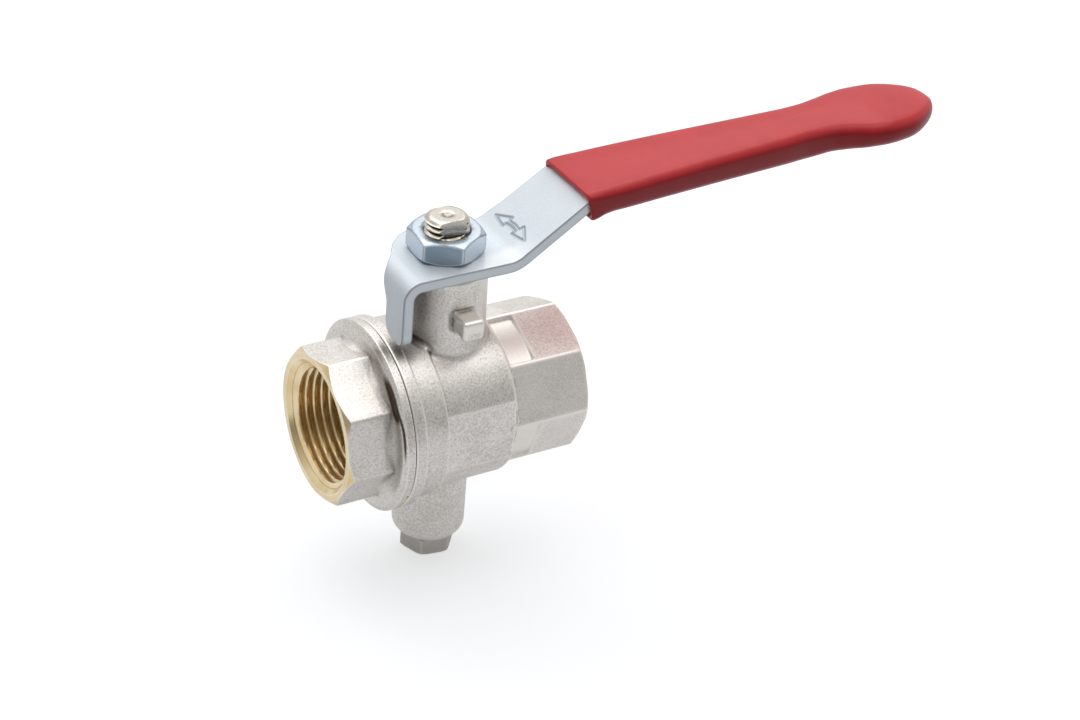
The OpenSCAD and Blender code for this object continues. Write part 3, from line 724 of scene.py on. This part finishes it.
def grip():
    """Sleeve as a rounded rectangle carried along X. Width, top and bottom follow curves through
    measured stations; the mouth turns in over the bar, and the tip closes in a dome."""
    mouth_x, dome_from, dome_length = 35.1, 138, 15.2
    dome_x = dome_from + dome_length * np.sin(np.linspace(0.03, 0.999, 34) * math.pi / 2)
    xs = np.concatenate([np.linspace(mouth_x, 36.4, 6), np.linspace(36.8, 44, 16),
                         np.linspace(45, 104, 50), np.linspace(105, dome_from, 46), dome_x])
    stations = [34.6, 38, 44, 60, 80, 100, 108, 114, 120, 126, 132, 138, 150]
    near = smooth_curve(xs, stations, [-14.1, -14.3, -14.1, -12.9, -11.4, -10.1, -9.5, -9.8, -11.4,
                                       -13.9, -14.9, -14.3, -9.8])
    far = smooth_curve(xs, stations, [9.5, 9.7, 9.8, 9.7, 9.3, 8.8, 8.6, 8.8, 9.8,
                                      11.1, 11.6, 11.4, 8.2])
    top = smooth_curve(xs, [34.6, 37, 42, 107, 120, 134, 150],
                       [61.6, 62.0, 62.3, 64.1, 64.7, 65.0, 65.0])
    low = smooth_curve(xs, [34.6, 36, 39.5, 43, 90, 107, 118, 132, 150],
                       [53.3, 53.5, 54.4, 54.6, 54.8, 54.9, 56.0, 57.4, 57.8])
    dome = np.clip((xs - dome_from) / dome_length, 0, 1)
    close = np.maximum(1 - dome ** 3, 1e-4) ** (1 / 3)
    mid_y, mid_z = (near + far)[:, None] / 2, (top + low)[:, None] / 2
    half_w, half_h = ((far - near) / 2 * close)[:, None], ((top - low) / 2 * close ** 0.5)[:, None]
    corner = np.interp(xs, [34.6, 42, 104, 124, 150], [2.2, 3.0, 3.4, 3.9, 4.0])[:, None]
    corner = np.minimum(corner, np.minimum(half_w, half_h) * 0.98)
    a = np.linspace(0, 2 * math.pi, 96, endpoint=False)
    c, s = np.cos(a), np.sin(a)
    yy = np.sign(c) * (half_w - corner) * np.clip(np.abs(c) * 3.2, 0, 1) + corner * c
    zz = np.sign(s) * (half_h - corner) * np.clip(np.abs(s) * 3.2, 0, 1) + corner * s
    lean = 0.24 * np.clip((42.0 - xs) / 7.0, 0, 1)[:, None] * zz
    outer = np.stack([xs[:, None] - lean, mid_y + yy, mid_z + zz], axis=2)
    # The mouth's lip: a half round of the wall, then straight in over the bar
    lip_r = 0.65
    lip = [(-lip_r * math.sin(turn), lip_r * (1 - math.cos(turn)))
           for turn in np.radians(np.arange(18, 181, 18))] + [(6.0, 2 * lip_r)]
    centre = np.array([mouth_x, mid_y[0, 0], mid_z[0, 0]])
    wide, high = half_w[0, 0], half_h[0, 0]
    rings = [centre + (outer[0] - centre) * [1, (wide - wall) / wide, (high - wall) / high]
             + [depth, 0, 0] for depth, wall in lip]
    grid = np.concatenate([rings[::-1], outer])
    piece = sheet_object("grip_sleeve", grid, "handle", poles=(True, True), node="grip", slot="grip")
    side = (smooth_step((np.abs(c) - 0.35) / 0.4) * smooth_step((0.75 - s) / 0.5)
            * smooth_step((s + 1.1) / 0.5))
    add_attribute(piece, "shade", np.tile(side, (len(grid), 1)))
    split_sharp(piece, 60)
    return piece


# Materials

def wire(tree, made, sockets):
    """For each (socket, value) pair, links the node's socket to another node's output, or sets it
    where the value is a plain one."""
    for socket, value in sockets:
        if isinstance(value, bpy.types.NodeSocket):
            tree.links.new(value, made.inputs[socket])
        else:
            made.inputs[socket].default_value = value


def add_node(tree, kind, sockets=(), **properties):
    """Adds a shader node, sets its properties and wires its sockets."""
    made = tree.nodes.new("ShaderNode" + kind)
    for key, value in properties.items():
        setattr(made, key, value)
    wire(tree, made, sockets)
    return made


def math_node(tree, operation, *values):
    """Output of a Math node that takes the values in order."""
    return add_node(tree, "Math", enumerate(values), operation=operation).outputs[0]


def mix_colour(tree, factor, first, second, blend="MIX"):
    """Output that blends the second colour over the first by the factor."""
    return add_node(tree, "Mix", [(0, factor), (6, first), (7, second)], data_type="RGBA",
                    blend_type=blend).outputs[2]


def blasted_metal_group():
    """Fine blasted grain on Object coordinates: a fine noise, a broad one, and the fine one with
    pits added as a height."""
    group = bpy.data.node_groups.new("blasted grain", "ShaderNodeTree")
    for label, scale in (("Grain scale", 2600.0), ("Blotch scale", 120.0)):
        socket = group.interface.new_socket(label, in_out="INPUT", socket_type="NodeSocketFloat")
        socket.default_value = scale
    for label in ("Fine", "Blotch", "Height"):
        group.interface.new_socket(label, in_out="OUTPUT", socket_type="NodeSocketFloat")
    put, out = group.nodes.new("NodeGroupInput"), group.nodes.new("NodeGroupOutput")
    spot = add_node(group, "TexCoord").outputs["Object"]
    grain_scale, blotch_scale = put.outputs["Grain scale"], put.outputs["Blotch scale"]
    fine = add_node(group, "TexNoise", [
        ("Vector", spot), ("Scale", grain_scale), ("Detail", 2.0), ("Roughness", 0.6)])
    blotch = add_node(group, "TexNoise", [
        ("Vector", spot), ("Scale", blotch_scale), ("Detail", 3.0), ("Roughness", 0.55)])
    pits = add_node(group, "TexVoronoi", [("Vector", spot), ("Scale", grain_scale)])
    height = math_node(group, "ADD", fine.outputs[0], pits.outputs["Distance"])
    wire(group, out, [("Fine", fine.outputs[0]), ("Blotch", blotch.outputs[0]), ("Height", height)])
    return group


def ramp(tree, source, stops):
    """Colour ramp with (position, colour) stops."""
    made = add_node(tree, "ValToRGB", [(0, source)])
    elements = made.color_ramp.elements
    while len(elements) < len(stops):
        elements.new(0.5)
    for element, (place, colour) in zip(elements, stops):
        element.position = place
        element.color = (*colour, 1.0)
    return made.outputs[0]


def attribute(tree, name):
    """Output that reads one of the numbers stored on a piece's vertices."""
    return add_node(tree, "Attribute", attribute_name=name).outputs["Fac"]


def fresh_material(name):
    """New material, its node tree and its Principled shader."""
    material = bpy.data.materials.new(name)
    material.use_nodes = True
    tree = material.node_tree
    return material, tree, tree.nodes["Principled BSDF"]


def metal(name, stops, rough, grain, bump=0.0, metallic=1.0, turned=None, edges=None,
          grain_scale=2600.0):
    """Metal whose colour runs along stops with a mix of grain and blotch, and where the turned
    attribute is 1 changes to the turned finish (the sheared finish on the lever): (stops, roughness);
    on the lever that attribute also carries painted light. Where edges is given, the colour is mixed
    towards its first colour where the edge attribute is above 0, and multiplied by its second where it
    is below 0: outer edges get painted highlights or painted dark lines this way, and hollows painted
    shade. The grain stands out by bump, and without it only shows in colour and roughness."""
    material, tree, shader = fresh_material(name)
    group = add_node(tree, "Group", [("Grain scale", grain_scale)], node_tree=grain)
    fine, blotch = group.outputs["Fine"], group.outputs["Blotch"]
    value = add_node(tree, "Mix", [(0, 0.25), (2, fine), (3, blotch)], data_type="FLOAT")
    colour = ramp(tree, value.outputs[0], stops)
    roughness = add_node(tree, "MapRange", [
        ("Value", fine), ("To Min", rough[0]), ("To Max", rough[1])]).outputs[0]
    if turned:
        turned_stops, turned_rough = turned
        mask = attribute(tree, "turned")
        colour = mix_colour(tree, mask, colour, ramp(tree, blotch, turned_stops))
        roughness = add_node(tree, "Mix", [(0, mask), (2, roughness), (3, turned_rough)],
                             data_type="FLOAT").outputs[0]
    if edges:
        bend = attribute(tree, "edge")
        edge_tone, hollow_tone = edges
        for tone, sign, share, blend in ((edge_tone, 1, 0.75, "MIX"), (hollow_tone, -1, 1.0, "MULTIPLY")):
            part = add_node(tree, "MapRange", [
                ("Value", bend), ("From Min", 0.1 * sign), ("From Max", 0.8 * sign),
                ("To Max", share)])
            colour = mix_colour(tree, part.outputs[0], colour, (*tone, 1), blend)
    if bump:
        relief = add_node(tree, "Bump", [
            ("Height", group.outputs["Height"]), ("Strength", bump), ("Distance", 0.00012)])
        wire(tree, shader, [("Normal", relief.outputs[0])])
    wire(tree, shader, [("Metallic", metallic), ("Base Color", colour), ("Roughness", roughness)])
    return material


def plastic(name, stops, rough, grain, coat=0.0, shine=0.5, shade=None):
    """Moulded or dipped plastic with slight colour drift and a fine skin. Where shade is given, the
    colour is multiplied by it where the attribute of that name is 1."""
    material, tree, shader = fresh_material(name)
    group = add_node(tree, "Group", [("Grain scale", 900.0)], node_tree=grain)
    colour = ramp(tree, group.outputs["Blotch"], stops)
    if shade:
        colour = mix_colour(tree, attribute(tree, "shade"), colour, (*shade, 1), "MULTIPLY")
    relief = add_node(tree, "Bump", [
        ("Height", group.outputs["Fine"]), ("Strength", 0.05), ("Distance", 0.0001)])
    wire(tree, shader, [("Roughness", rough), ("Specular IOR Level", shine), ("Coat Weight", coat),
                        ("Coat Roughness", 0.1), ("Base Color", colour),
                        ("Normal", relief.outputs[0])])
    return material


def dress(piece, material):
    """Gives a piece, or a CAD node's object, one material in place of any that it has."""
    piece.data.materials.clear()
    piece.data.materials.append(material)


# Stage

def camera():
    """Camera fitted to the photograph: back vector from azimuth and elevation, then a small roll."""
    azimuth, elevation, roll = (math.radians(v) for v in (-32.94, 32.63, 5.46))
    distance, shift_right, shift_up = 607.87, 28.08, 9.97
    focal_px, photo_px = 2263.22, 1080
    back = Vector((math.sin(azimuth) * math.cos(elevation), -math.cos(azimuth) * math.cos(elevation),
                   math.sin(elevation)))
    level = Vector((math.cos(azimuth), math.sin(azimuth), 0.0))
    upward = back.cross(level)
    right = level * math.cos(roll) + upward * math.sin(roll)
    top = upward * math.cos(roll) - level * math.sin(roll)
    spot = Vector((STEM_X, 0, 0)) + back * distance + right * shift_right + top * shift_up
    data = bpy.data.cameras.new("camera")
    data.sensor_width = 36.0
    data.lens = focal_px / photo_px * data.sensor_width
    data.clip_start = 0.01
    data.clip_end = 20
    made = bpy.data.objects.new("camera", data)
    matrix = Matrix((right, top, back)).transposed().to_4x4()
    matrix.translation = spot * 0.001
    made.matrix_world = matrix
    bpy.context.collection.objects.link(made)
    bpy.context.scene.camera = made


def lamp(name, spot, size, power):
    """White soft box at spot, in metres, aimed at the stem's axis."""
    data = bpy.data.lights.new(name, "AREA")
    data.shape = "RECTANGLE"
    data.size, data.size_y = size
    data.energy = power
    made = bpy.data.objects.new(name, data)
    made.location = spot
    target = Vector((STEM_X * 0.001, 0, 0))
    made.rotation_euler = (target - Vector(spot)).to_track_quat("-Z", "Y").to_euler()
    bpy.context.collection.objects.link(made)


def paper_floor():
    """White paper under the plug. It glows for the camera, and half as much in what the metal
    mirrors, so that it is white in the picture without lighting the object."""
    floor_z, size = -0.0479, 4.0
    mesh = bpy.data.meshes.new("floor")
    mesh.from_pydata([(-size, -size, floor_z), (size, -size, floor_z), (size, size, floor_z),
                      (-size, size, floor_z)], [], [(0, 1, 2, 3)])
    floor = bpy.data.objects.new("floor", mesh)
    bpy.context.collection.objects.link(floor)
    material, tree, shader = fresh_material("white paper")
    rays = add_node(tree, "LightPath")
    seen = math_node(tree, "MULTIPLY_ADD", rays.outputs["Is Glossy Ray"], 0.56,
                     rays.outputs["Is Camera Ray"])
    wire(tree, shader, [("Base Color", (0.68, 0.705, 0.74, 1)), ("Roughness", 0.9),
                        ("Specular IOR Level", 0.0), ("Emission Color", (1, 1, 1, 1)),
                        ("Emission Strength", math_node(tree, "MULTIPLY", seen, 0.58))])
    mesh.materials.append(material)


def light():
    """A world that is pale overhead and darker low in front, white to the camera and weak as a
    light, and two soft boxes: one overhead, and one behind that the top faces mirror."""
    world = bpy.data.worlds.new("world")
    bpy.context.scene.world = world
    world.use_nodes = True
    tree = world.node_tree
    spot = add_node(tree, "TexCoord").outputs["Generated"]
    toward = add_node(tree, "VectorMath", [(0, spot), (1, (0.38, 0.60, 0.70))],
                      operation="DOT_PRODUCT")
    fall = add_node(tree, "MapRange", [
        ("Value", toward.outputs["Value"]), ("From Min", -0.4), ("From Max", 0.6),
        ("To Min", 0.28), ("To Max", 0.84)])
    rays = add_node(tree, "LightPath")
    share = add_node(tree, "MapRange", [
        ("Value", rays.outputs["Is Glossy Ray"]), ("To Min", 0.28), ("To Max", 1.0)])
    level = math_node(tree, "MULTIPLY", fall.outputs[0], share.outputs[0])
    strength = math_node(tree, "MAXIMUM", level, rays.outputs["Is Camera Ray"])
    wire(tree, tree.nodes["Background"], [("Strength", strength), ("Color", (1, 1, 1, 1))])
    lamp("overhead box", (0.08, 0.12, 0.95), (1.4, 1.3), 7.0)
    lamp("back box", (0.12, 0.92, 1.0), (1.9, 0.7), 3.2)


# Assembly

camera()
grain = blasted_metal_group()
NICKEL = [(0.33, (0.58, 0.53, 0.475)), (0.5, (0.81, 0.772, 0.725)), (0.65, (0.95, 0.922, 0.885))]
STEM_NICKEL = [(0.3, (0.50, 0.465, 0.41)), (0.7, (0.67, 0.635, 0.58))]
DULL_NICKEL = [(0.3, (0.44, 0.415, 0.385)), (0.7, (0.62, 0.595, 0.56))]
BRASS = [(0.3, (0.82, 0.61, 0.31)), (0.7, (1.0, 0.82, 0.51))]
ZINC = [(0.3, (0.72, 0.78, 0.835)), (0.7, (0.84, 0.90, 0.95))]
# Sheared zinc, also used for the painted light in front of the lever's nut
SHEARED_ZINC_AND_PAINTED_LIGHT = [(0.3, (0.87, 0.93, 0.98)), (0.7, (0.94, 0.98, 1.0))]
NUT_ZINC = [(0.3, (0.51, 0.575, 0.64)), (0.7, (0.63, 0.70, 0.765))]
CHROME = [(0.3, (0.8, 0.8, 0.81)), (0.7, (0.86, 0.86, 0.87))]
VINYL = [(0.3, (0.64, 0.026, 0.034)), (0.7, (0.72, 0.033, 0.041))]
PTFE = [(0.3, (0.80, 0.80, 0.77)), (0.7, (0.86, 0.86, 0.83))]
RUBBER = [(0.3, (0.015, 0.015, 0.016)), (0.7, (0.03, 0.03, 0.032))]
# Painted highlight for outer edges and the lighter painted spots, and painted shade for hollows and
# the darker painted spots
PAINTED_HIGHLIGHT, PAINTED_SHADE = (1.0, 0.96, 0.89), (0.12, 0.085, 0.06)

nickel = metal("blasted nickel", NICKEL, (0.36, 0.5), grain, metallic=0.85, turned=(BRASS, 0.2),
               edges=(PAINTED_HIGHLIGHT, PAINTED_SHADE), grain_scale=2000.0)
stem_nickel = metal("turned nickel", STEM_NICKEL, (0.2, 0.28), grain, 0.08,
                    edges=((0.66, 0.61, 0.52), (0.07, 0.045, 0.02)))
plug_nickel = metal("dull nickel", DULL_NICKEL, (0.4, 0.5), grain, 0.4, 0.85,
                    edges=((0.7, 0.67, 0.63), PAINTED_SHADE))
zinc = metal("zinc plate", ZINC, (0.42, 0.54), grain, metallic=0.25, turned=(SHEARED_ZINC_AND_PAINTED_LIGHT, 0.32),
             edges=((0.26, 0.30, 0.35), (0.5, 0.55, 0.6)))
nut_zinc = metal("bright zinc plate", NUT_ZINC, (0.24, 0.34), grain, 0.2,
                 edges=((0.22, 0.26, 0.31), (0.4, 0.45, 0.5)))
brass = metal("turned brass", BRASS, (0.18, 0.25), grain, 0.05,
              edges=((1.0, 0.86, 0.6), (0.4, 0.28, 0.14)))
plain_brass = metal("plain brass", BRASS, (0.15, 0.22), grain, 0.05)
chrome = metal("polished chrome", CHROME, (0.06, 0.1), grain, 0.02)
vinyl = plastic("red vinyl", VINYL, 0.38, grain, coat=0.22, shine=0.25, shade=(0.58, 0.42, 0.47))
ptfe = plastic("white ptfe", PTFE, 0.45, grain)
rubber = plastic("black rubber", RUBBER, 0.5, grain)

dress(end_connector(), nickel)
dress(valve_body(), nickel)
dress(port_thread(), brass)
dress(stem(), stem_nickel)
dress(lever_nut(), nut_zinc)
dress(drain_plug(), plug_nickel)
dress(lever(), zinc)
dress(grip(), vinyl)
FINISH = {"ball": chrome, "seat_inlet": ptfe, "seat_outlet": ptfe, "thrust_washer": ptfe,
          "packing_ring": ptfe, "gland_nut": plain_brass, "connector_seal": rubber,
          "stem_o_rings": rubber, "drain_seal": ptfe}
for name, material in FINISH.items():
    dress(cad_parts[name], material)

paper_floor()
light()
bpy.context.scene.view_settings.view_transform = "Standard"
